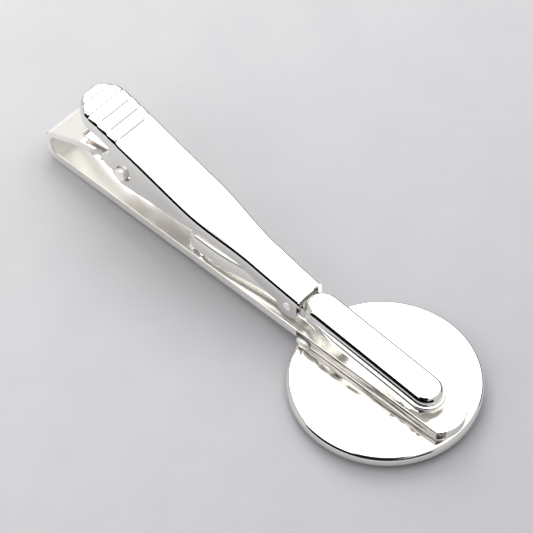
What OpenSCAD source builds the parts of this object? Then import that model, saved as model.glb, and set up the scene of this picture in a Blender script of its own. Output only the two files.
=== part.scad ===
// Tie clip, lying face down: a round tray under a folded strip, with a sprung
// thumb lever that carries a rocking jaw. Millimetres, +Z up.
// Origin: centre of the stone recess, on the plane of the tray's rim.
// +X runs along the strip towards its free end, the fold is at -X.

/* [Tray] */
// Outside diameter of the round tray
tray_d = 20; // [19:0.5:21]
// Height of the tray from rim to back
tray_h = 1.3; // [1.2:0.1:1.5]
// Diameter of the recess that holds the stone
recess_d = 18.2; // [17.2:0.1:18.4]
// Depth of that recess
recess_h = 0.85; // [0.7:0.05:0.9]

/* [Back strip] */
// Width of the strip
strip_w = 4.7; // [4.5:0.1:4.8]
// Thickness of the strip along the bar
strip_t = 1.1; // [1:0.05:1.15]
// Centre of the fold along the bar
fold_x = -43.8; // [-44.2:0.1:-43.6]
// Outer radius of the fold
fold_r = 2.2; // [2.1:0.05:2.25]

/* [Thumb lever] */
// Half width at the thumb end
lever_w = 2.85; // [2.8:0.05:3]
// Half width at the far end
nose_w = 1.9; // [1.88:0.02:1.94]
// Sheet thickness of the lever
lever_t = 0.45; // [0.42:0.01:0.48]
// Radial clearance of the lever on its hinge pin
hinge_gap = 0.06; // [0.03:0.01:0.09]

/* [Jaw] */
// Sheet thickness of the jaw
jaw_t = 0.42; // [0.38:0.01:0.45]
// Height of the tooth tips above the strip
tooth_gap = 0.06; // [0.05:0.01:0.12]
// Radial clearance of the jaw on its pin
jaw_gap = 0.05; // [0.03:0.01:0.08]

/* [Hidden] */
tray_r = tray_d / 2;
recess_r = recess_d / 2;
solder_t = 0.1;
half_w = strip_w / 2;
bar_z0 = tray_h + solder_t;
bar_z1 = bar_z0 + strip_t;
bar_end_r = 3.3;
bar_end_x = 6.45;
fold_zo = bar_z0 + fold_r;
fold_ri = 1.25;
fold_zi = bar_z1 + fold_ri;
leaf_rise = 22;
leaf_end_rise = 8;
leaf_a0 = 90 + leaf_rise;
leaf_a1 = 90 + leaf_end_rise;
leaf_t = fold_r - fold_ri + (fold_zo - fold_zi) * sin(leaf_a0);
leaf_l0 = 4.1;
leaf_bend_r = 3;
leaf_l1 = 3.6;
hinge = [-33.8, 8.3];
hinge_r = 0.71;
ear_y0 = 1.7;
ear_y1 = 2.2;
jawpin = [-11.7, 4.6];
jawpin_r = 0.5;
nose_x = -10.45;
thumb_x = -38.55;
tongue_drop = 5;
tongue_z = 5.87;
tongue_x = -7.32;
tongue_w = 1.81;
ledge_w = 2.12;
emboss_h = 0.95;
flange_h = 0.65;
tip_z = bar_z1 + tooth_gap;
neck_w = 1.38;
nape_w = 1.95;
far = 60;

function polar(c, r, a) = [c[0] + r * cos(a), c[1] + r * sin(a)];
function arc(c, r, a0, a1, n) =
  [for (i = [0:n]) polar(c, r, a0 + (a1 - a0) * i / n)];
function mix(a, b, t) = a + (b - a) * t;
function ease(t) = t < 0 ? 0 : t > 1 ? 1 : (1 - cos(180 * t)) / 2;
function flip(v) = [for (i = [len(v) - 1:-1:0]) v[i]];
function mirror_y(v) = [for (p = v) [p[0], -p[1]]];

// Top line of the lever: a slow upward sweep that levels off at the thumb.
function lever_top(x) =
  let (u = nose_x - 0.1 - x, v = max(0, u - 24))
  6.15 + 0.1624 * u + 0.00365 * u * u - 0.02165 * v * v;
// Half width of the lever, full at the thumb and waisted to the nose.
function lever_half(x) =
  x < -16
    ? mix(lever_w, nose_w + 0.15, ease((x + 25.5) / 9.5))
    : mix(nose_w + 0.15, nose_w, (x + 16) / (16 + nose_x));
// Half width of the jaw under the lever.
function jaw_half(x) =
  x < -12
    ? mix(nape_w, neck_w, ease((x + 22.5) / 8.5))
    : neck_w;
function tongue_top(x) = tongue_z - (x - tongue_x) * tan(tongue_drop);

// Extrudes a side view (X, Z) across the width, between y0 and y1.
module slab(y0, y1)
  translate([0, y1, 0])
    rotate([90, 0, 0])
      linear_extrude(height = y1 - y0)
        children();

// ---- Tray -------------------------------------------------------------
module tray()
  color([0.86, 0.87, 0.88])
    rotate_extrude($fn = 120)
      polygon(concat(
        [[0, recess_h], [recess_r, recess_h], [recess_r, 0],
         [tray_r - 0.15, 0], [tray_r, 0.15]],
        arc([tray_r - 0.35, tray_h - 0.35], 0.35, 0, 90, 8),
        [[0, tray_h]]));

// ---- Solder between the tray and the strip ----------------------------
module solder_joint()
  color([0.8, 0.81, 0.82])
    translate([0, 0, tray_h])
      linear_extrude(height = solder_t)
        intersection() {
          translate([-9.25, -half_w - 0.15])
            square([20, strip_w + 0.3]);
          translate([bar_end_x, 0])
            circle(r = bar_end_r + 0.15, $fn = 96);
        }

// ---- Back strip: bar, fold, return leaf and the two hinge ears --------
leaf_p0 = polar([fold_x, fold_zo], fold_r, leaf_a0);
leaf_p1 = [leaf_p0[0] + leaf_l0 * cos(leaf_rise),
           leaf_p0[1] + leaf_l0 * sin(leaf_rise)];
leaf_c = polar(leaf_p1, -leaf_bend_r - leaf_t, leaf_a0);
leaf_p2 = polar(leaf_c, leaf_bend_r + leaf_t, leaf_a1);
leaf_p3 = [leaf_p2[0] + leaf_l1 * cos(leaf_end_rise),
           leaf_p2[1] + leaf_l1 * sin(leaf_end_rise)];

module fold_side()
  polygon(concat(
    [[fold_x + 1, bar_z0]],
    arc([fold_x, fold_zo], fold_r, 270, leaf_a0, 28),
    flip(arc([fold_x, fold_zi], fold_ri, 270, leaf_a0, 28)),
    [[fold_x + 1, bar_z1]]));

module leaf_side()
  polygon(concat(
    [leaf_p0],
    arc(leaf_c, leaf_bend_r + leaf_t, leaf_a0, leaf_a1, 6),
    [leaf_p3, polar(leaf_p3, -leaf_t, leaf_a1)],
    flip(arc(leaf_c, leaf_bend_r, leaf_a0, leaf_a1, 6)),
    [polar(leaf_p0, -leaf_t, leaf_a0)]));

module ear_side()
  difference() {
    union() {
      translate(hinge)
        circle(r = 1.6, $fn = 72);
      polygon([[-37.7, 7.2], [-37.55, 7.85], [-36.5, 9.0], [-35.6, 9.55],
               [-34.2, 9.85], [-33.9, 6.73], [-35.2, 6.5], [-36.7, 6.45]]);
    }
    translate(hinge)
      circle(r = hinge_r - 0.01, $fn = 96);
  }

module back_strip()
  color([0.88, 0.89, 0.9])
    union() {
      translate([0, 0, bar_z0])
        linear_extrude(height = strip_t)
          union() {
            translate([fold_x, -half_w])
              square([bar_end_x - fold_x, strip_w]);
            intersection() {
              translate([bar_end_x - 1, -half_w])
                square([6, strip_w]);
              translate([bar_end_x, 0])
                circle(r = bar_end_r, $fn = 96);
            }
          }
      slab(-half_w, half_w)
        fold_side();
      intersection() {
        slab(-half_w, half_w)
          leaf_side();
        linear_extrude(height = 12)
          polygon([[fold_x - 3, -half_w], [fold_x - 3, half_w],
                   [fold_x - 0.8, half_w], [-38.6, ear_y1],
                   [-38.4, 1.8], [-37.7, 1.8], [-37.5, ear_y1],
                   [-35, ear_y1], [-35, -ear_y1], [-37.5, -ear_y1],
                   [-37.7, -1.8], [-38.4, -1.8], [-38.6, -ear_y1],
                   [fold_x - 0.8, -half_w]]);
      }
      slab(ear_y0, ear_y1)
        ear_side();
      slab(-ear_y1, -ear_y0)
        ear_side();
    }

// ---- Hinge pin, pressed into the strip's ears --------------------------
module hinge_pin()
  color([0.84, 0.85, 0.86])
    translate([hinge[0], 0, hinge[1]])
      rotate([90, 0, 0])
        union() {
          cylinder(r = hinge_r, h = 6.5, center = true, $fn = 96);
          cylinder(r = hinge_r - 0.15, h = 6.8, center = true, $fn = 96);
        }

// ---- Thumb lever --------------------------------------------------------
lever_low = [
  [-35.8, 10.75], [-35.6, 9.9], [-35.5, 7.9], [-35.15, 7.2], [-34.6, 6.75],
  [-33.9, 6.52], [-33.1, 6.55], [-30, 6.85], [-25.2, 7.15], [-23, 7.25],
  [-21.3, 6.95], [-19.2, 6.4], [-16.6, 5.45], [-14.4, 4.75]
];
function lever_edge(step) =
  [for (x = [thumb_x - lever_w:step:nose_x - 0.01]) [x, lever_top(x)]];
function lip_drop(x) = 1.1 + 0.65 * ease((x + 41.2) / 2.4);
function lip_edge(step) =
  [for (x = [thumb_x - lever_w:step:-36]) [x, lever_top(x) - lip_drop(x)]];

nose_a = acos((nose_x - jawpin[0]) / 1.5);
module lever_side()
  polygon(concat(
    lever_edge(1.2),
    [[nose_x, lever_top(nose_x)]],
    arc(jawpin, 1.5, -nose_a, -172, 20),
    flip(lever_low),
    flip(lip_edge(0.6))));

module lever_core()
  polygon(concat(
    [for (x = [thumb_x - lever_w:1.2:nose_x - 0.01])
      [x, lever_top(x) - lever_t]],
    [[nose_x, lever_top(nose_x) - lever_t],
     [nose_x + 3, lever_top(nose_x) - lever_t - 0.4],
     [nose_x + 3, -1], [thumb_x - lever_w, -1]]));

function lever_wall(inset, x1) = concat(
  [for (x = [x1:-0.75:-26]) [x, lever_half(x) - inset]],
  arc([thumb_x, 0], lever_w - inset, 90, 180, 16));

module lever_plan(inset, x1)
  polygon(concat(
    lever_wall(inset, x1),
    flip(mirror_y(lever_wall(inset, x1)))));

module rib_groove(x)
  translate([x, 0, lever_top(x) + 0.32])
    rotate([90, 0, 0])
      cylinder(r = 0.4, h = 12, center = true, $fn = 36);

module thumb_lever()
  color([0.9, 0.91, 0.92])
    difference() {
      intersection() {
        slab(-4, 4)
          lever_side();
        linear_extrude(height = 20)
          lever_plan(0, nose_x);
      }
      intersection() {
        slab(-4, 4)
          lever_core();
        translate([0, 0, -2])
          linear_extrude(height = 20)
            lever_plan(lever_t, nose_x + 2);
      }
      for (i = [0:4])
        rib_groove(-40 + i * 1.3);
      translate([hinge[0], 0, hinge[1]])
        rotate([90, 0, 0])
          cylinder(r = hinge_r + hinge_gap, h = 10, center = true, $fn = 96);
      translate([jawpin[0], 0, jawpin[1]])
        rotate([90, 0, 0])
          cylinder(r = jawpin_r - 0.01, h = 10, center = true, $fn = 96);
    }

// ---- Rivet that carries the jaw, pressed into the lever ----------------
module jaw_rivet()
  color([0.84, 0.85, 0.86])
    translate([jawpin[0], 0, jawpin[1]])
      rotate([90, 0, 0])
        cylinder(r = jawpin_r, h = 2 * nose_w + 0.3, center = true, $fn = 96);

// ---- Rocking jaw: channel under the lever, neck and embossed tongue ----
module jaw_channel_side()
  polygon([
    [-8.6, 5.3], [-25.3, 5.3], [-26.0, 5.0], [-26.35, 4.5], [-26.4, 3.9],
    [-26.15, 3.3], [-25.7, 2.95], [-25.2, 2.9], [-24.85, tip_z],
    [-24.4, tip_z + 0.45], [-24.0, tip_z + 0.45], [-23.6, tip_z],
    [-23.1, tip_z + 0.4], [-22.3, tip_z + 0.5], [-13.5, tip_z + 0.5],
    [-12.6, 3.4], [-10.8, 3.4], [-8.6, 3.6]
  ]);

function jaw_wall(inset) = concat(
  [for (x = [-8.6:-0.8:-24]) [x, jaw_half(x) - inset]],
  arc([-26.4 + nape_w, 0], nape_w - inset, 90, 180, 12));

module jaw_plan(inset)
  polygon(concat(jaw_wall(inset), flip(mirror_y(jaw_wall(inset)))));

module tongue_plan(w, x0, x1)
  union() {
    translate([x0 + w, -w])
      square([x1 - x0 - 2 * w, 2 * w]);
    translate([x0 + w, 0])
      circle(r = w, $fn = 72);
    translate([x1 - w, 0])
      circle(r = w, $fn = 72);
  }

// A slice of the sloping tongue, from depth d1 up to depth d0 below its top.
module tongue_slice(w, x0, x1, d0, d1)
  intersection() {
    linear_extrude(height = 12)
      tongue_plan(w, x0, x1);
    slab(-4, 4)
      polygon([
        [x0 - 1, tongue_top(x0 - 1) - d0], [x1 + 1, tongue_top(x1 + 1) - d0],
        [x1 + 1, tongue_top(x1 + 1) - d1], [x0 - 1, tongue_top(x0 - 1) - d1]]);
  }

// Tooth strips under the two long edges of the ledge.
module tongue_teeth()
  for (s = [-1, 1])
    slab(min(s * ledge_w, s * (ledge_w - 0.5)), max(s * ledge_w, s * (ledge_w - 0.5)))
      polygon([
        [2.2, tongue_top(2.2) - 1.4], [5.2, tongue_top(5.2) - 1.4],
        [5.1, tip_z + 0.35], [4.7, tip_z], [4.2, tip_z + 0.4],
        [3.8, tip_z + 0.4], [3.4, tip_z], [2.9, tip_z + 0.4],
        [2.3, tongue_top(2.3) - 1.6]]);

module neck_plan(inset)
  polygon([
    [-10.9, neck_w - inset], [-9.6, neck_w - inset], [-8.2, 1.75 - inset],
    [-6.8, ledge_w - inset], [-5, ledge_w - inset],
    [-5, inset - ledge_w], [-6.8, inset - ledge_w], [-8.2, inset - 1.75],
    [-9.6, inset - neck_w], [-10.9, inset - neck_w]]);

module neck_side(top_cut)
  polygon([
    [-10.9, 5.3 - top_cut], [-9.5, 5.3 - top_cut], [-8.6, 5.2 - top_cut],
    [-5, 4.75 - top_cut], [-5, tongue_top(-5) - 1.6], [-7.4, 4.1],
    [-8.4, 3.6], [-10.9, 3.4]]);

module rocker_jaw()
  color([0.89, 0.9, 0.91])
    difference() {
      union() {
        intersection() {
          slab(-4, 4)
            jaw_channel_side();
          linear_extrude(height = 12)
            jaw_plan(0);
        }
        intersection() {
          slab(-4, 4)
            neck_side(0);
          linear_extrude(height = 12)
            neck_plan(0);
        }
        tongue_slice(tongue_w, -9.75, 7.0, 0, 1.3);
        tongue_slice(ledge_w, -7.6, 7.3, emboss_h, emboss_h + flange_h);
        tongue_teeth();
      }
      intersection() {
        linear_extrude(height = 5.3 - jaw_t)
          jaw_plan(jaw_t);
        translate([-30, -4, 0])
          cube([20, 8, 12]);
      }
      intersection() {
        linear_extrude(height = 12)
          neck_plan(jaw_t);
        translate([-12, -4, 0])
          cube([7, 8, 5.3 - jaw_t]);
      }
      tongue_slice(tongue_w - jaw_t, -9.75 + jaw_t, 7.0 - jaw_t, jaw_t, 5);
      translate([jawpin[0], 0, jawpin[1]])
        rotate([90, 0, 0])
          cylinder(r = jawpin_r + jaw_gap, h = 10, center = true, $fn = 96);
    }

// ---- Leaf spring ---------------------------------------------------------
spring_t = 0.3;
spring_path = concat(
  [[-40.6, 8.1], [-40.65, 7.85], [-40.4, 7.7], [-40.0, 7.75],
   [-38.6, 8.02], [-36.9, 8.27], [-36.0, 8.5], [-35.2, 8.95], [-34.4, 9.2]],
  arc([-32.3, 9.86], 0.66, -90, 90, 10),
  [[-34.4, 11.25], [-36.0, 11.82], [-36.3, 11.83], [-36.5, 11.62]]);
function heading(p, i) =
  let (a = p[max(0, i - 1)], b = p[min(len(p) - 1, i + 1)])
  atan2(b[1] - a[1], b[0] - a[0]);
function ribbon(p, d) =
  [for (i = [0:len(p) - 1]) polar(p[i], d, heading(p, i) + 90)];

module leaf_spring()
  color([0.83, 0.82, 0.8])
    slab(-1.6, 1.6)
      polygon(concat(
        ribbon(spring_path, spring_t / 2),
        flip(ribbon(spring_path, -spring_t / 2))));

tray();
solder_joint();
back_strip();
hinge_pin();
thumb_lever();
jaw_rivet();
rocker_jaw();
leaf_spring();
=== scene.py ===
"""Tie clip with a round stone tray, lying face down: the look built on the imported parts."""

from math import acos, cos, degrees, pi, radians, sin, sqrt, tan

import bmesh
import bpy
from mathutils import Matrix, Quaternion, Vector


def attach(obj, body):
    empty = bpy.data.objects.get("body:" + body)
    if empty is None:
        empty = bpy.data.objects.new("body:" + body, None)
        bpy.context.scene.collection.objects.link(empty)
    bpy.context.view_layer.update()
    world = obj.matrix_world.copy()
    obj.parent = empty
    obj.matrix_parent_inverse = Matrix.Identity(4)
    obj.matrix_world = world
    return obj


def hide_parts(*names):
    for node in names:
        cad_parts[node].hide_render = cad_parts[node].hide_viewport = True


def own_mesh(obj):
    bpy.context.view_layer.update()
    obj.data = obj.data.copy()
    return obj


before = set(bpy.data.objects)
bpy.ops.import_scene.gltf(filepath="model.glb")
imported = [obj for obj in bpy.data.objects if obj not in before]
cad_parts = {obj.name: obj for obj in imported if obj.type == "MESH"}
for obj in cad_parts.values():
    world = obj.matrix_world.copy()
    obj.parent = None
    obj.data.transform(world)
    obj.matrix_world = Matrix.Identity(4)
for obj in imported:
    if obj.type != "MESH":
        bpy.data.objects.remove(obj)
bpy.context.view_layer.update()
scene = bpy.context.scene
MM = 0.001

# ---------------------------------------------------------------------------
# Camera. A long lens, well above the clip, from its front right corner, so
# that the strip runs down from the upper left to the tray.
# ---------------------------------------------------------------------------
camera = bpy.data.objects.new("camera", bpy.data.cameras.new("camera"))
scene.collection.objects.link(camera)
scene.camera = camera
camera.data.sensor_width = 36
camera.data.lens = 220.96
camera.data.clip_start = 0.01
camera.data.clip_end = 10
camera.location = Vector((121.11, -152.6, 267.07)) * MM
look_at = Vector((-17.51, 1.36, 3.0)) * MM
turn = (look_at - camera.location).to_track_quat("-Z", "Y")
camera.rotation_mode = "QUATERNION"
camera.rotation_quaternion = turn @ Quaternion((0, 0, 1), radians(0.73))


# ---------------------------------------------------------------------------
# Table. A sheet of pale lilac-grey card, matt, with a faint tooth. The clip
# rests on the tray's rim and tips until the fold touches, so the card slopes
# a little in the clip's own frame.
# ---------------------------------------------------------------------------
def linear(hex_colour):
    """An sRGB hex colour as linear red, green, blue and alpha."""
    parts = [int(hex_colour[i : i + 2], 16) / 255 for i in (1, 3, 5)]
    return [c / 12.92 if c < 0.04045 else ((c + 0.055) / 1.055) ** 2.4 for c in parts] + [1]


def add(tree, kind, inputs=None, links=None, **settings):
    """Adds a node with its settings, its plain inputs and the sockets that feed it."""
    made = tree.nodes.new(kind)
    for name, value in settings.items():
        setattr(made, name, value)
    for name, value in (inputs or {}).items():
        made.inputs[name].default_value = value
    for name, socket in (links or {}).items():
        tree.links.new(socket, made.inputs[name])
    return made


def new_material(name):
    """A material with nothing in it but its output."""
    made = bpy.data.materials.new(name)
    made.use_nodes = True
    made.node_tree.nodes.clear()
    return made, made.node_tree


# Uncoated card, rolled: matt, with a soft mottle a few millimetres across, and
# painted shade: a shade greyer towards the tray, standing in for the light falling off.
card, tree = new_material("uncoated_card")
place = add(tree, "ShaderNodeTexCoord").outputs["Object"]
mottle = add(tree, "ShaderNodeTexNoise", {"Scale": 1 / (6 * MM), "Detail": 4}, {"Vector": place})
split = add(tree, "ShaderNodeSeparateXYZ", links={"Vector": place})
# painted shade: the card's tone darkens along X towards the tray, in place of the light's fall-off
painted_falloff_ramp = add(tree, "ShaderNodeMapRange", {"From Min": -65 * MM, "From Max": 30 * MM},
             {"Value": split.outputs["X"]})
painted_falloff_tone = add(tree, "ShaderNodeMix", {6: linear("#B9B9BA"), 7: linear("#A3A3A8")},
            {"Factor": painted_falloff_ramp.outputs["Result"]}, data_type="RGBA")
cloud = add(tree, "ShaderNodeMix", {6: linear("#F4F4F6"), 7: linear("#FFFFFF")},
            {"Factor": mottle.outputs["Fac"]}, data_type="RGBA")
grit = add(tree, "ShaderNodeTexNoise", {"Scale": 1 / (0.3 * MM), "Detail": 3}, {"Vector": place})
fleck = add(tree, "ShaderNodeMix", {"Factor": 0.16},
            {6: cloud.outputs[2], 7: grit.outputs["Fac"]}, data_type="RGBA", blend_type="OVERLAY")
tone = add(tree, "ShaderNodeMix", {"Factor": 1.0},
           {6: painted_falloff_tone.outputs[2], 7: fleck.outputs[2]}, data_type="RGBA", blend_type="MULTIPLY")
tooth = add(tree, "ShaderNodeTexNoise", {"Scale": 1 / (0.5 * MM), "Detail": 3}, {"Vector": place})
bump = add(tree, "ShaderNodeBump", {"Strength": 0.3, "Distance": 0.02 * MM},
           {"Height": tooth.outputs["Fac"]})
shader = add(tree, "ShaderNodeBsdfPrincipled", {"Roughness": 0.9, "Specular IOR Level": 0.2},
             {"Base Color": tone.outputs[2], "Normal": bump.outputs["Normal"]})
add(tree, "ShaderNodeOutputMaterial", links={"Surface": shader.outputs[0]})

tip_angle, table_z = radians(-2.3), -0.41
bm = bmesh.new()
bmesh.ops.create_grid(bm, x_segments=1, y_segments=1, size=0.45)
bmesh.ops.rotate(bm, verts=bm.verts, cent=(0, 0, 0), matrix=Matrix.Rotation(-tip_angle, 3, "Y"))
bmesh.ops.translate(bm, verts=bm.verts, vec=Vector((0, 0, table_z)) * MM)
table = bpy.data.objects.new("table", bpy.data.meshes.new("table"))
bm.to_mesh(table.data)
bm.free()
table.data.materials.append(card)
scene.collection.objects.link(table)

# ---------------------------------------------------------------------------
# Studio light. One large softbox above and behind the clip whitens every face
# that looks up, in a pale room, and a small key on the fold's side lets the
# table fall off towards the tray. The fill lifts the shadows only, and the
# bounce card on the near side is there for the plate to mirror.
# ---------------------------------------------------------------------------
def area_light(name, width, height, energy, at, along):
    """A rectangular light at a place, shining along a direction."""
    light = bpy.data.objects.new(name, bpy.data.lights.new(name, "AREA"))
    light.data.shape = "RECTANGLE"
    light.data.size, light.data.size_y = width, height
    light.data.energy = energy
    light.location = at
    light.rotation_euler = along.to_track_quat("-Z", "Y").to_euler()
    scene.collection.objects.link(light)
    return light


area_light("softbox", 0.86, 0.86, 3.2, (-0.08, 0.17, 0.45), Vector((0.06, -0.19, -0.45)))
area_light("key", 0.18, 0.18, 0.36, (-0.2, 0.12, 0.2), Vector((0.19, -0.12, -0.2)))
fill = area_light("fill", 0.4, 0.4, 1.1, (-0.12, -0.42, 0.3), Vector((0.1, 0.42, -0.3)))
fill.visible_glossy = False
bounce = area_light("bounce", 2.4, 1.1, 10, (0.2, -0.78, 1.46), Vector((0, 1, -0.15)))
bounce.visible_diffuse = False

room = bpy.data.worlds.new("room")
scene.world = room
room.use_nodes = True
room.node_tree.nodes["Background"].inputs["Color"].default_value = linear("#FDFBF8")
room.node_tree.nodes["Background"].inputs["Strength"].default_value = 0.6
scene.view_settings.view_transform = "Standard"

# Black velvet, napped: nearly no light back, a little uneven. It covers flags low
# round the table and a shade round the lens, which no light or shadow notices: only
# the plate mirrors them, so that rounded edges turn to thin black lines.
velvet, tree = new_material("black_velvet")
place = add(tree, "ShaderNodeTexCoord").outputs["Object"]
nap = add(tree, "ShaderNodeTexNoise", {"Scale": 12.0, "Detail": 3}, {"Vector": place})
tone = add(tree, "ShaderNodeMix", {6: linear("#070707"), 7: linear("#141313")},
           {"Factor": nap.outputs["Fac"]}, data_type="RGBA")
shader = add(tree, "ShaderNodeBsdfPrincipled", {"Roughness": 1.0, "Specular IOR Level": 0.0},
             {"Base Color": tone.outputs[2]})
add(tree, "ShaderNodeOutputMaterial", links={"Surface": shader.outputs[0]})
for name, half_w, half_h, at, facing in (
    ("near_flag", 0.96, 0.47, (0.34, -0.75, 0.43), (0, 1, 0)),
    ("side_flag", 0.36, 0.42, (1.3, -0.4, 0.38), (-1, 0, 0)),
    ("far_flag", 0.9, 0.15, (-0.3, 0.95, 0.13), (0, -1, 0)),
    ("lens_shade", 0.11, 0.11, (0.125, -0.157, 0.275), (-0.413, 0.459, -0.787)),
):
    bm = bmesh.new()
    bmesh.ops.create_grid(bm, x_segments=1, y_segments=1, size=1)
    bmesh.ops.scale(bm, verts=bm.verts, vec=(half_w, half_h, 1))
    bmesh.ops.rotate(bm, verts=bm.verts, cent=(0, 0, 0),
                     matrix=Vector(facing).to_track_quat("Z", "Y").to_matrix())
    bmesh.ops.translate(bm, verts=bm.verts, vec=at)
    flag = bpy.data.objects.new(name, bpy.data.meshes.new(name))
    bm.to_mesh(flag.data)
    bm.free()
    flag.data.materials.append(velvet)
    flag.visible_diffuse = False
    flag.visible_shadow = False
    flag.visible_camera = False
    scene.collection.objects.link(flag)


# ---------------------------------------------------------------------------
# Tray. A round brass cup, stamped, then plated with bright silver. It lies
# with its back up; the recess for the stone faces the table.
# ---------------------------------------------------------------------------
def silver_plate(name, light, dark, low_gloss, high_gloss, wave_mm, wave_depth_mm,
                 metal=1.0, mark_depth_mm=0.0002):
    """Polished plate: two close tones, a haze of handling, and the slow ripple of
    hand buffing, over hairline polishing marks."""
    made, tree = new_material(name)
    place = add(tree, "ShaderNodeTexCoord").outputs["Object"]
    haze = add(tree, "ShaderNodeTexNoise", {"Scale": 1 / (5 * MM), "Detail": 3}, {"Vector": place})
    tone = add(tree, "ShaderNodeMix", {6: linear(light), 7: linear(dark)},
               {"Factor": haze.outputs["Fac"]}, data_type="RGBA")
    along = add(tree, "ShaderNodeMapping", {"Scale": (0.12, 1, 1)}, {"Vector": place})
    marks = add(tree, "ShaderNodeTexNoise", {"Scale": 1 / (0.12 * MM), "Detail": 2},
                {"Vector": along.outputs["Vector"]})
    gloss = add(tree, "ShaderNodeMapRange", {"From Min": 0.3, "From Max": 0.7,
                                             "To Min": low_gloss, "To Max": high_gloss},
                {"Value": marks.outputs["Fac"]})
    wave = add(tree, "ShaderNodeTexNoise", {"Scale": 1 / (wave_mm * MM), "Detail": 1},
               {"Vector": place})
    ripple = add(tree, "ShaderNodeBump", {"Strength": 1, "Distance": wave_depth_mm * MM},
                 {"Height": wave.outputs["Fac"]})
    hairline = add(tree, "ShaderNodeBump", {"Strength": 1, "Distance": mark_depth_mm * MM},
                   {"Height": marks.outputs["Fac"], "Normal": ripple.outputs["Normal"]})
    shader = add(tree, "ShaderNodeBsdfPrincipled", {"Metallic": metal},
                 {"Base Color": tone.outputs[2], "Roughness": gloss.outputs["Result"],
                  "Normal": hairline.outputs["Normal"]})
    add(tree, "ShaderNodeOutputMaterial", links={"Surface": shader.outputs[0]})
    return made


def finished(bm, name, material, crease=30):
    """Turns a mesh built in millimetres into an object in metres, smooth but for its edges."""
    bmesh.ops.scale(bm, verts=bm.verts, vec=(MM, MM, MM))
    mesh = bpy.data.meshes.new(name)
    bm.to_mesh(mesh)
    bm.free()
    mesh.shade_smooth()
    mesh.set_sharp_from_angle(angle=radians(crease))
    made = bpy.data.objects.new(name, mesh)
    made.data.materials.append(material)
    scene.collection.objects.link(made)
    return made


def arc(cx, cz, r, a0, a1, n):
    """Points along an arc, ends included, angles in degrees."""
    return [(cx + r * cos(radians(a0 + (a1 - a0) * i / n)),
             cz + r * sin(radians(a0 + (a1 - a0) * i / n))) for i in range(n + 1)]


def chain(bm, points):
    """Vertices at these points, joined in a line. Returns both."""
    verts = [bm.verts.new(p) for p in points]
    return verts, [bm.edges.new(pair) for pair in zip(verts, verts[1:])]


tray_r, tray_h, recess_r, recess_h = 10.0, 1.3, 9.1, 0.85
back_edge_r, rim_edge_r, recess_edge_r = 0.5, 0.35, 0.12
tray_plate = silver_plate("silver_plate_on_brass", "#F8F7F4", "#F1EFEB", 0.08, 0.13, 4.0, 0.0015)

turned = [(0, tray_h), (3, tray_h), (6, tray_h), (8.6, tray_h)]
turned += arc(tray_r - back_edge_r, tray_h - back_edge_r, back_edge_r, 90, 0, 10)
turned += arc(tray_r - rim_edge_r, rim_edge_r, rim_edge_r, 0, -90, 8)
turned += arc(recess_r + recess_edge_r, recess_edge_r, recess_edge_r, -90, -180, 3)
turned += [(recess_r, recess_h - 0.1), (recess_r - 0.1, recess_h), (5, recess_h), (0, recess_h)]
bm = bmesh.new()
line, edges = chain(bm, [(x, 0, z) for x, z in turned])
bmesh.ops.spin(bm, geom=line + edges, cent=(0, 0, 0), axis=(0, 0, 1), angle=2 * pi,
               steps=180, use_merge=True)
bmesh.ops.remove_doubles(bm, verts=bm.verts, dist=1e-4)
bmesh.ops.recalc_face_normals(bm, faces=bm.faces)
tray = finished(bm, "tray_cup", tray_plate)
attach(tray, "clip_back")
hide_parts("tray")

# ---------------------------------------------------------------------------
# Solder. A thin bed between the strip and the tray, with a bright bead where
# the strip crosses the tray's edge. It runs smooth and is plated over.
# ---------------------------------------------------------------------------
bead_plate = silver_plate("plated_solder", "#F8F6F2", "#E8E6E2", 0.2, 0.35, 0.8, 0.02, 0.5)
strip_w, strip_t, bar_z0 = 2.35, 1.1, 1.4
bar_end_x, bar_end_r, bar_end_angle = 6.45, 3.3, 45.4
bed_inset, bed_t, tray_edge_x = 0.04, 0.13, -9.2


def pulled_over(grown):
    """The vertices that an extrusion made."""
    return [v for v in grown["geom"] if isinstance(v, bmesh.types.BMVert)]


bm = bmesh.new()
side = [(x, bed_inset - strip_w) for x in (tray_edge_x, -5, 0, 5)]
side += arc(bar_end_x, 0, bar_end_r - bed_inset, -bar_end_angle, bar_end_angle, 24)
side += [(x, strip_w - bed_inset) for x in (5, 0, -5, tray_edge_x)]
line, edges = chain(bm, [(x, y, tray_h - 0.02) for x, y in side])
bed = bm.faces.new(line)
grown = bmesh.ops.extrude_face_region(bm, geom=[bed])
bmesh.ops.translate(bm, verts=pulled_over(grown), vec=(0, 0, bed_t))
for y in (-1, 1):
    blob = bmesh.ops.create_uvsphere(bm, u_segments=32, v_segments=18, radius=0.5)["verts"]
    bmesh.ops.scale(bm, verts=blob, vec=(1.7, 0.9, 0.85))
    bmesh.ops.translate(bm, verts=blob, vec=(-9.0, y * (strip_w + 0.05), 1.38))
bmesh.ops.recalc_face_normals(bm, faces=bm.faces)
solder = finished(bm, "solder_bed", bead_plate, 50)
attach(solder, "clip_back")
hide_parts("solder_joint")

# ---------------------------------------------------------------------------
# Back strip. One strip of steel, stamped flat, folded over at one end and
# plated. The bar is the full width; the return leaf is thinner and narrower,
# is notched each side and carries the two upright ears of the hinge.
# ---------------------------------------------------------------------------
satin_plate = silver_plate("satin_silver_plate", "#FBFAF6", "#F3F1EC", 0.18, 0.2, 3.5, 0.006,
                           0.72, 0.00001)
fold_x, fold_r, fold_ri = -43.8, 2.2, 1.25
fold_z = bar_z0 + fold_r
inner_z = bar_z0 + strip_t + fold_ri
rise, end_rise = 22, 8
leaf_t = fold_r - fold_ri + (fold_z - inner_z) * sin(radians(90 + rise))
hinge_x, hinge_z = -33.8, 8.3
notch_x, hinge_end_x, notch_half, hinge_half = -38.5, -37.75, 1.8, 2.15
ear_r, ear_t, ear_ys = 1.6, 0.5, (-2.2, 1.7)


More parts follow.
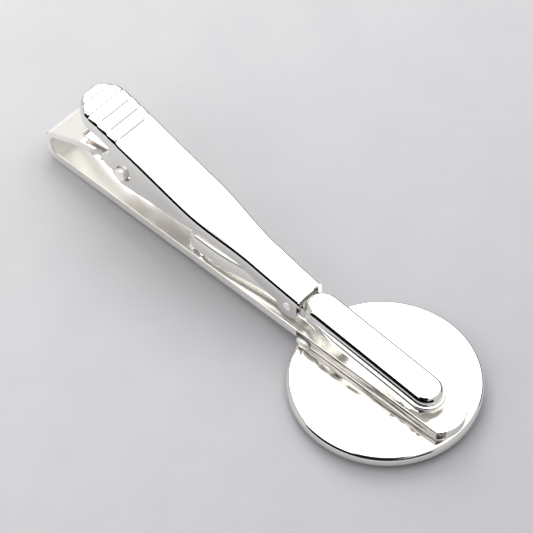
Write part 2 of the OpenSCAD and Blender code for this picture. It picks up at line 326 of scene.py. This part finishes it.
def step(point, length, angle):
    """The point that lies this far along a heading, in degrees."""
    return (point[0] + length * cos(radians(angle)), point[1] + length * sin(radians(angle)))


# The side view of the fold and leaf: the outer skin, then the inner one.
bar_joins = (-40, -41.5, -42.8)
outer = [(x, bar_z0) for x in bar_joins]
outer += arc(fold_x, fold_z, fold_r, 270, 90 + rise, 40)
inner = [(x, bar_z0 + strip_t) for x in bar_joins]
inner += arc(fold_x, inner_z, fold_ri, 270, 90 + rise, 40)
leaf_from = len(outer)
steps = [(0.8, rise)] * 5 + [(0.15, rise - 2.8 * k) for k in range(1, 5)] + [(0.35, end_rise)] * 10
for length, heading in steps:
    outer.append(step(outer[-1], length, heading))
for a, b in zip(outer[leaf_from:], outer[leaf_from + 1:]):
    heading = degrees(acos((b[0] - a[0]) / sqrt((b[0] - a[0]) ** 2 + (b[1] - a[1]) ** 2)))
    inner.append(step(b, leaf_t, heading - 90))


def leaf_half(x, z):
    """Half the strip's width: full on the bar, drawn in and notched on the leaf."""
    if z < fold_z + 1.4:
        return strip_w
    if x < notch_x:
        return strip_w - 0.2 * (x + 44.5) / 6
    return notch_half if x < hinge_end_x else hinge_half


def profile(bm, points, y):
    """A closed side view as one face, standing at this y."""
    return bm.faces.new([bm.verts.new((x, y, z)) for x, z in points])


# The edge that the blanking die sheared: drawn lines along it, greyer than the faces,
# drawn a little coarser than the real ones so that they show. Its dark tone is partly painted
# reflection: it is given only where the side mirrors dark surroundings, over the tray.
edge_and_reflection_plate, tree = new_material("sheared_edge_and_painted_reflection")
place = add(tree, "ShaderNodeTexCoord").outputs["Object"]
along = add(tree, "ShaderNodeMapping", {"Scale": (0.04, 1, 1)}, {"Vector": place})
lines = add(tree, "ShaderNodeTexNoise", {"Scale": 1 / (0.24 * MM), "Detail": 3, "Roughness": 0.7},
            {"Vector": along.outputs["Vector"]})
depth = add(tree, "ShaderNodeMapRange", {"From Min": 0.44, "From Max": 0.56},
            {"Value": lines.outputs["Fac"]})
tone = add(tree, "ShaderNodeMix", {6: linear("#24201E"), 7: linear("#C0BBB6")},
           {"Factor": depth.outputs["Result"]}, data_type="RGBA")
gloss = add(tree, "ShaderNodeMapRange", {"To Min": 0.42, "To Max": 0.22},
            {"Value": depth.outputs["Result"]})
drawn = add(tree, "ShaderNodeBump", {"Strength": 0.6, "Distance": 0.01 * MM},
            {"Height": lines.outputs["Fac"]})
shader = add(tree, "ShaderNodeBsdfPrincipled", {"Metallic": 0.7},
             {"Base Color": tone.outputs[2], "Roughness": gloss.outputs["Result"],
              "Normal": drawn.outputs["Normal"]})
add(tree, "ShaderNodeOutputMaterial", links={"Surface": shader.outputs[0]})

bm = bmesh.new()
# The flat bar, with its rounded free end. Its sheared edge shows beside the jaw; only the side
# faces over the tray and the end's corners take the darker edge material, as painted reflection.
plan = [(-40, -strip_w), (-25, -strip_w), (-10, -strip_w), (5, -strip_w)]
plan += arc(bar_end_x, 0, bar_end_r, -bar_end_angle, bar_end_angle, 28)
plan += [(5, strip_w), (-10, strip_w), (-25, strip_w), (-40, strip_w)]
bar = bm.faces.new([bm.verts.new((x, y, bar_z0)) for x, y in plan])
grown = bmesh.ops.extrude_face_region(bm, geom=[bar])
bmesh.ops.translate(bm, verts=pulled_over(grown), vec=(0, 0, strip_t))
# painted reflection: side faces past x = -9.9 and more than 1.6 off the middle take the darker
# sheared-edge material
for face in bm.faces:
    middle = face.calc_center_median()
    if abs(face.normal.z) < 0.5 and middle.x > -9.9 and abs(middle.y) > 1.6:
        face.material_index = 1
# The fold and the leaf, drawn across the width in one pull.
sides = profile(bm, outer + inner[::-1], -strip_w)
grown = bmesh.ops.extrude_face_region(bm, geom=[sides])
bmesh.ops.translate(bm, verts=pulled_over(grown), vec=(0, 2 * strip_w, 0))
for v in bm.verts:
    if v.co.x < -39.9 or v.co.z > 3:
        v.co.y *= leaf_half(v.co.x, v.co.z) / strip_w
ends = [f for f in bm.faces if all(abs(v.co.x + 40) < 1e-3 and v.co.z < 3 for v in f.verts)]
bmesh.ops.delete(bm, geom=ends, context="FACES_ONLY")
bmesh.ops.remove_doubles(bm, verts=bm.verts, dist=1e-4)
bmesh.ops.recalc_face_normals(bm, faces=bm.faces)
# The two ears, cut from the same strip and turned up beside the leaf.
ear = [(hinge_end_x, 7.15), (-37.6, 7.85), (-36.6, 8.95), (-35.6, 9.6), (-34.6, 9.85)]
ear += arc(hinge_x, hinge_z, ear_r, 90, -100, 24) + [(-35.2, 6.55), (-36.7, 6.4)]
for y in ear_ys:
    face = profile(bm, ear, y)
    grown = bmesh.ops.extrude_face_region(bm, geom=[face])
    bmesh.ops.translate(bm, verts=pulled_over(grown), vec=(0, ear_t, 0))
bmesh.ops.recalc_face_normals(bm, faces=bm.faces)
strip = finished(bm, "folded_strip", satin_plate, 35)
strip.data.materials.append(edge_and_reflection_plate)


def rounded(piece, width_mm, segments=3, angle=40):
    """Breaks the sharp edges of a stamped piece."""
    edge = piece.modifiers.new("broken_edges", "BEVEL")
    edge.width = width_mm * MM
    edge.segments = segments
    edge.limit_method = "ANGLE"
    edge.angle_limit = radians(angle)
    edge.harden_normals = True
    edge.use_clamp_overlap = True


rounded(strip, 0.16)
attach(strip, "clip_back")
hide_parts("back_strip")

# ---------------------------------------------------------------------------
# Hinge pin. Plated wire, pressed through the ears, its ends a little domed.
# ---------------------------------------------------------------------------
pin_r, pin_half = 0.71, 3.4
pin_plate = silver_plate("matt_plate_on_wire", "#FCFBF8", "#F1EFEB", 0.2, 0.34, 0.6, 0.004,
                         0.4, 0.0003)


def wire_pin(name, x, z, r, half, dome):
    """A round pin across the clip with a broken, slightly domed end each side."""
    bm = bmesh.new()
    lathe = [(0, half), (r - dome, half - 0.02)]
    lathe += [(r - dome + dome * sin(radians(a)), half - dome + dome * cos(radians(a)))
              for a in (20, 45, 70, 90)]
    lathe += [(r, 0)]
    lathe += [(p, -q) for p, q in lathe[-2::-1]]
    line, edges = chain(bm, [(p, q, 0) for p, q in lathe])
    bmesh.ops.spin(bm, geom=line + edges, cent=(0, 0, 0), axis=(0, 1, 0), angle=2 * pi,
                   steps=48, use_merge=True)
    bmesh.ops.remove_doubles(bm, verts=bm.verts, dist=1e-4)
    bmesh.ops.recalc_face_normals(bm, faces=bm.faces)
    bmesh.ops.translate(bm, verts=bm.verts, vec=(x, 0, z))
    return finished(bm, name, pin_plate, 50)


pin = wire_pin("hinge_wire", hinge_x, hinge_z, pin_r, pin_half, 0.15)
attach(pin, "clip_back")
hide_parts("hinge_pin")

# ---------------------------------------------------------------------------
# Leaf spring. A strip of spring steel bent to a hairpin: the lower leg lies on
# the return leaf, the upper one lifts the thumb end. Its tips are curled.
# ---------------------------------------------------------------------------
spring_half, spring_t = 1.6, 0.3
spring_plate = silver_plate("plated_spring_steel", "#F3EAE4", "#E4D8D1", 0.1, 0.2, 1.5, 0.003, 0.8)
hairpin = [(-40.6, 8.1), (-40.66, 7.93), (-40.6, 7.78), (-40.4, 7.7), (-40.0, 7.75), (-38.6, 8.02),
           (-36.9, 8.27), (-36.4, 8.36), (-36.0, 8.5), (-35.6, 8.72), (-35.2, 8.95), (-34.8, 9.12),
           (-34.4, 9.2)]
hairpin += arc(-32.3, 9.86, 0.66, -90, 90, 16)
hairpin += [(-34.4, 11.25), (-36.0, 11.82), (-36.3, 11.83), (-36.5, 11.62)]


def settled(piece):
    """Makes a piece's modifiers part of its mesh."""
    ready = piece.evaluated_get(bpy.context.evaluated_depsgraph_get())
    mesh = bpy.data.meshes.new_from_object(ready)
    piece.modifiers.clear()
    piece.data = mesh


bm = bmesh.new()
line, edges = chain(bm, [(x, -spring_half, z) for x, z in hairpin])
grown = bmesh.ops.extrude_edge_only(bm, edges=edges)
bmesh.ops.translate(bm, verts=pulled_over(grown), vec=(0, 2 * spring_half, 0))
bmesh.ops.recalc_face_normals(bm, faces=bm.faces)
spring = finished(bm, "hairpin_spring", spring_plate, 60)
wall = spring.modifiers.new("strip_thickness", "SOLIDIFY")
wall.thickness = spring_t * MM
wall.offset = 0
rounded(spring, 0.06, 2)
settled(spring)
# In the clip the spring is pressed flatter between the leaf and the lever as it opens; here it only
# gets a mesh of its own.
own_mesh(spring)
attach(spring, "clip_back")
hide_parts("leaf_spring")

# ---------------------------------------------------------------------------
# Thumb lever. A channel pressed from sheet: round thumb end with a lip and
# grip grooves, deep ears at the hinge, a waist, and a square open nose.
# ---------------------------------------------------------------------------
lever_plate = silver_plate("bright_silver_plate", "#F9F8F5", "#F3F1ED", 0.03, 0.06, 4.0, 0.003)
lever_w, nose_w, nose_x, thumb_x, lever_t = 2.85, 1.9, -10.45, -38.55, 0.45
rivet_x, rivet_z = -11.7, 4.6
groove_x, groove_pitch, groove_depth, step_run = -34.8, 1.3, 0.12, 0.08
shoulder_r, lever_bore_r, rivet_bore_r = 0.6, 0.95, 0.47


def ease(t):
    """From 0 to 1, starting and ending softly."""
    return 0 if t < 0 else 1 if t > 1 else (1 - cos(pi * t)) / 2


def lever_top(x):
    """Height of the lever's back: an upward sweep that levels off at the thumb."""
    u = nose_x - 0.1 - x
    v = max(0, u - 24)
    return 6.15 + 0.1624 * u + 0.00365 * u * u - 0.02165 * v * v


def pad(x):
    """Along each grip pad, rising from 0 at its outer end, then down the short step to
    the next. Past the last step the back rises to its full height again."""
    along = (x - groove_x) / groove_pitch + 1e-4
    if along >= 0:
        return min(1, along / 2.5)
    return min((along % 1) / (1 - step_run), (1 - along % 1) / step_run)


def lever_half(x):
    """Half the lever's width: full as far as the hinge, then in to a waist and the nose."""
    if x < -16:
        return lever_w + (nose_w + 0.15 - lever_w) * ease((x + 25.5) / 9.5)
    return nose_w + 0.15 - 0.15 * (x + 16) / (16 + nose_x)


lever_low_line = [(-36.0, 10.95), (-35.8, 10.75), (-35.6, 9.9), (-35.5, 7.9), (-35.3, 7.45),
                  (-35.0, 7.05), (-34.6, 6.75), (-34.2, 6.6), (-33.8, 6.52), (-33.1, 6.55),
                  (-30, 6.85), (-25.2, 7.15), (-23, 7.25), (-22, 7.13), (-21.3, 6.95),
                  (-19.2, 6.4), (-16.6, 5.45), (-14.4, 4.75), (-13.18, 4.4)]


def between(line, x):
    """Straight-line reading of a list of (x, z)."""
    for (x0, z0), (x1, z1) in zip(line, line[1:]):
        if x <= x1:
            return z0 + (z1 - z0) * max(0, (x - x0)) / (x1 - x0)
    return line[-1][1]


def lever_low(x):
    """Lower edge of the lever's walls, from the thumb's lip to the nose ears."""
    if x < -36.0:
        return lever_top(x) - 1.1 - 0.65 * ease((x + 41.2) / 2.4)
    if x < -13.18:
        return between(lever_low_line, x)
    return rivet_z - sqrt(max(0.0, 1.5**2 - (x - rivet_x) ** 2))


def rail(half_at, xs, cx, r, steps):
    """Plan outline of a pressed channel: along one wall, round the end, back again.
    Each entry is a point and the way the wall faces there."""
    side = []
    for x in xs:
        slope = (half_at(x + 0.02) - half_at(x - 0.02)) / 0.04
        size = sqrt(1 + slope * slope)
        side.append((x, -half_at(x), -slope / size, -1 / size))
    turn = [180 + 90 - 180 * (k + 0.5) / (2 * steps) for k in range(2 * steps)]
    bend = [(cx + r * cos(radians(a)), r * sin(radians(a)), cos(radians(a)), sin(radians(a)))
            for a in turn]
    back = [(x, -y, nx, -ny) for x, y, nx, ny in reversed(side)]
    return side + bend + back


def press(bm, outline, rows):
    """Presses a shell over an outline. Each row gives how far in it lies at a place
    along the outline, and its height. The first row's two sides are bridged for the
    back, and the rest run down the wall."""
    def put(v, at, row):
        inset, height = row(at[0])
        x, y = at[0] - at[2] * inset, at[1] - at[3] * inset
        v.co = (x, y, height(x))

    verts, edges = chain(bm, [(0, 0, 0)] * len(outline))
    for v, at in zip(verts, outline):
        put(v, at, rows[0])
    half, first = len(outline) // 2, edges
    for row in rows[1:]:
        pulled = bmesh.ops.extrude_edge_only(bm, edges=edges)["geom"]
        edges = [e for e in pulled if isinstance(e, bmesh.types.BMEdge)]
        new = []
        for v in verts:
            link = [e.other_vert(v) for e in v.link_edges if e.other_vert(v) in pulled]
            new.append(link[0])
        for v, at in zip(new, outline):
            put(v, at, row)
        edges = [bm.edges.get(pair) for pair in zip(new, new[1:])]
        verts = new
    near, away = first[: half - 1], first[half:]
    bmesh.ops.bridge_loops(bm, edges=near + away)
    return verts


def cut_across(bm, x, top_at, depth, dist):
    """Cuts a loop across a back at this x, no deeper than this below the top."""
    back = [f for f in bm.faces if all(top_at(v.co.x) - v.co.z < depth for v in f.verts)]
    near = dict.fromkeys([e for f in back for e in f.edges] + [v for f in back for v in f.verts])
    bmesh.ops.bisect_plane(bm, geom=back + list(near), dist=dist, plane_co=(x, 0, 0),
                           plane_no=(1, 0, 0))


groove_cuts = (0, 0.104, 0.35, 0.6, 0.9, 1.1)
xs = [nose_x, -10.6] + [-10.8 - 0.15 * k for k in range(18)]
xs += [-13.6 - 0.45 * k for k in range(44)]
xs += [-33.2 - 0.2 * k for k in range(7)]
for k in range(3):
    xs += [groove_x - groove_pitch * k - past for past in groove_cuts]
outline = rail(lever_half, xs, thumb_x, lever_w, 26)


def rounded_shoulder(angle):
    """One row of the top edge's rounding, fuller at the high end of each pad."""
    def row(x):
        r = shoulder_r + (0.22 * pad(x) ** 2 if x < groove_x else 0)
        return r * (1 - cos(radians(angle))), lambda q: lever_top(q) - r * (1 - sin(radians(angle)))
    return row


rows = [lambda x: (1.4, lever_top)] + [rounded_shoulder(a) for a in (90, 75, 60, 45, 30, 15, 0)]
rows.append(lambda x: (0, lambda q: lever_top(q) - 1.05))
rows.append(lambda x: (0, lambda q: (lever_top(q) - 1.05 + lever_low(q)) / 2))
rows.append(lambda x: (0, lever_low))
bm = bmesh.new()
press(bm, outline, rows)
# The grip: each pad rises a little, then steps down. The last two cross the round end,
# where the outline has no places of its own for them, so their lines are cut in.
for k in (3, 4):
    for past in (0, 0.104, 0.9):
        cut_across(bm, groove_x - groove_pitch * k - past, lever_top, 0.95, 1e-3)
for v in bm.verts:
    below = lever_top(v.co.x) - v.co.z
    v.co.z -= groove_depth * (1 - pad(v.co.x)) * max(0, 1 - below / 0.5)
bmesh.ops.recalc_face_normals(bm, faces=bm.faces)
lever = finished(bm, "thumb_channel", lever_plate, 40)
lever.data.materials.append(satin_plate)


def walled(piece, thickness_mm, bores):
    """Gives a pressed shell its sheet thickness inwards, then drills it across."""
    wall = piece.modifiers.new("sheet", "SOLIDIFY")
    wall.thickness = thickness_mm * MM
    wall.offset = -1
    wall.material_offset = 1
    drills = []
    for x, z, r in bores:
        bm = bmesh.new()
        bmesh.ops.create_cone(bm, cap_ends=True, segments=48, radius1=r * MM, radius2=r * MM,
                              depth=12 * MM)
        bmesh.ops.rotate(bm, verts=bm.verts, cent=(0, 0, 0), matrix=Matrix.Rotation(pi / 2, 3, "X"))
        bmesh.ops.translate(bm, verts=bm.verts, vec=(x * MM, 0, z * MM))
        drill = bpy.data.objects.new("drill", bpy.data.meshes.new("drill"))
        bm.to_mesh(drill.data)
        bm.free()
        scene.collection.objects.link(drill)
        cut = piece.modifiers.new("bore", "BOOLEAN")
        cut.operation = "DIFFERENCE"
        cut.solver = "EXACT"
        cut.object = drill
        drills.append(drill)
    settled(piece)
    for drill in drills:
        bpy.data.objects.remove(drill)


walled(lever, lever_t, [(hinge_x + 0.1, hinge_z, lever_bore_r), (rivet_x, rivet_z, rivet_bore_r)])
rounded(lever, 0.07, 2, 50)
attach(lever, "lever")
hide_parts("thumb_lever")

# ---------------------------------------------------------------------------
# Jaw rivet. A short wire pin, pressed flush into the lever's nose ears.
# ---------------------------------------------------------------------------
rivet_r, rivet_half = 0.5, 2.05
rivet = wire_pin("jaw_wire", rivet_x, rivet_z, rivet_r, rivet_half, 0.12)
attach(rivet, "lever")
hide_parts("jaw_rivet")

# ---------------------------------------------------------------------------
# Rocking jaw. One pressing: a tail channel under the lever, a flared neck, and
# a tongue embossed above a narrow ledge. Both ends have teeth along the edges.
# ---------------------------------------------------------------------------
jaw_t, nape_w, neck_w, tongue_w, ledge_w = 0.42, 1.95, 1.38, 1.81, 2.12
tail_x, tip_z, jaw_bore_r = -26.4, 2.56, 0.54
tongue_x0, tongue_x1, tongue_dip = -10.42, 7.0, 0.3


def tongue_top(x):
    """Height of the tongue's back, which falls gently towards its tip."""
    return 5.87 - (x + 7.32) * tan(radians(5))


def jaw_half(x):
    """Half the width of the tail and neck: wide, drawn in, then flared to the ledge."""
    if x < -12:
        return nape_w + (neck_w - nape_w) * ease((x + 22.5) / 8.5)
    return neck_w + (ledge_w - 0.04 - neck_w) * ease((x + 9.9) / 3.2)


def jaw_top(x):
    """Height of the tail's back, lower at its end and where it runs under the tongue."""
    return 5.3 - 0.75 * ease((x + 9.2) / 3.5) - 0.9 * ease((-24.6 - x) / 2.2)


tail_low_line = [(-26.4, 3.7), (-26.0, 3.1), (-25.6, 2.9), (-25.2, 2.9), (-24.85, tip_z),
                 (-24.45, 3.05), (-24.0, 3.05), (-23.6, tip_z), (-23.2, 3.0), (-22.3, 3.06),
                 (-13.5, 3.06), (-12.6, 3.4), (-10.8, 3.4), (-9.4, 3.45), (-8.4, 3.7),
                 (-7.4, 4.1), (-5, 4.05)]
xs = [-5.6, -6.2] + [-6.6 - 0.2 * k for k in range(20)]
xs += [-10.8 - 0.4 * k for k in range(29)]
xs += [-22.4 - 0.1 * k for k in range(20)]
outline = rail(jaw_half, xs, tail_x + nape_w, nape_w, 18)


def crown(inset, drop):
    """One row of the tail's crowned back, rounder towards its end."""
    def row(x):
        grow = 1 - 0.55 * ease((x + 22) / 8)
        return inset * grow, lambda q: jaw_top(q) - drop * grow
    return row


rows = [crown(*at) for at in ((1.5, 0), (1.15, 0.05), (0.8, 0.16), (0.45, 0.31), (0.2, 0.44),
                              (0.08, 0.53), (0, 0.68))]
rows.append(lambda x: (0, lambda q: between(tail_low_line, q)))
bm = bmesh.new()
press(bm, outline, rows)

# The tongue: a closed outline, pressed up from its ledge.
tooth_line = [(-8, 9), (2.2, 9), (2.6, 3.35), (3.0, 3.0), (3.4, tip_z), (3.8, 3.0), (4.2, 3.0),
              (4.7, tip_z), (5.1, 2.95), (5.5, 3.3), (5.6, 9), (8, 9)]


def tongue_rail(w, x0, x1):
    """Once round the tongue, with both ends a half circle, from where its tip begins.
    Each entry is a point and the way the edge faces there."""
    count = int((x1 - x0 - 2 * w) / 0.25)
    ring = [(x1 - w - 0.25 * k, -w, 0, -1) for k in range(count)]
    for a in range(267, 90, -6):
        ring.append((x0 + w + w * cos(radians(a)), w * sin(radians(a)), cos(radians(a)),
                     sin(radians(a))))
    ring += [(x, -y, nx, -ny) for x, y, nx, ny in reversed(ring[:count])]
    ring += [(x1 - w + w * cos(radians(a)), w * sin(radians(a)), cos(radians(a)), sin(radians(a)))
             for a in range(87, -90, -6)]
    return ring


def tongue_low(x):
    """Lower edge of the tongue's skirt, with its teeth."""
    return min(tongue_top(x) - 1.6, between(tooth_line, x))


def over_shoulder(angle):
    """One row of the rounding round the tongue, a little tighter on the far side."""
    def row(x, ny):
        r = 0.7 - 0.08 * ny
        return r * (1 - cos(radians(angle))), r * (1 - sin(radians(angle)))
    return row


def over_ledge(out, drop):
    """One row of the ledge at the tongue's foot, which grows wider past its start."""
    def row(x, ny):
        return -out * (0.1 + 0.21 * ease((x + 8.5) / 4)), drop
    return row


rows = [over_shoulder(a) for a in (90, 78, 66, 54, 42, 30, 18, 8)]
rows += [over_ledge(*at) for at in ((0, 0.9), (0.15, 0.93), (0.33, 0.945), (0.5, 0.95),
                                    (0.78, 0.99), (0.94, 1.07), (1, 1.2), (1, None))]
loops = []
for row in rows:
    loop = []
    for x, y, nx, ny in tongue_rail(tongue_w, tongue_x0, tongue_x1):
        inset, drop = row(x, ny)
        x, y = x - nx * inset, y - ny * inset
        loop.append((x, y, tongue_low(x) if drop is None else tongue_top(x) - drop))
    loops.append(loop)
verts = [bm.verts.new(p) for p in loops[0]]
edges = [bm.edges.new((a, b)) for a, b in zip(verts, verts[1:] + verts[:1])]
bm.faces.new(verts)
for loop in loops[1:]:
    pulled = bmesh.ops.extrude_edge_only(bm, edges=edges)["geom"]
    new = []
    for v, p in zip(verts, loop):
        grown = [e.other_vert(v) for e in v.link_edges if e.other_vert(v) in pulled][0]
        grown.co = p
        new.append(grown)
    edges = [bm.edges.get(pair) for pair in zip(new, new[1:] + new[:1])]
    verts = new
# Its start dips, to pass below the lever's nose.
for x in (-9.9, -9.5, -9.1, -8.7, -8.3, -7.9):
    cut_across(bm, x, tongue_top, 0.2, 0.01)
for v in bm.verts:
    if v.co.x > -10.5:
        below = tongue_top(v.co.x) - v.co.z
        v.co.z -= tongue_dip * ease((-8.1 - v.co.x) / 2.1) * max(0, 1 - below / 0.9)
bmesh.ops.recalc_face_normals(bm, faces=bm.faces)
for face in bm.faces:
    face.material_index = 1 if face.calc_center_median().x < -10.5 else 0
jaw = finished(bm, "rocking_jaw", lever_plate, 40)
jaw.data.materials.append(satin_plate)
walled(jaw, jaw_t, [(rivet_x, rivet_z, jaw_bore_r)])
rounded(jaw, 0.05, 2, 50)
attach(jaw, "jaw")
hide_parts("rocker_jaw")
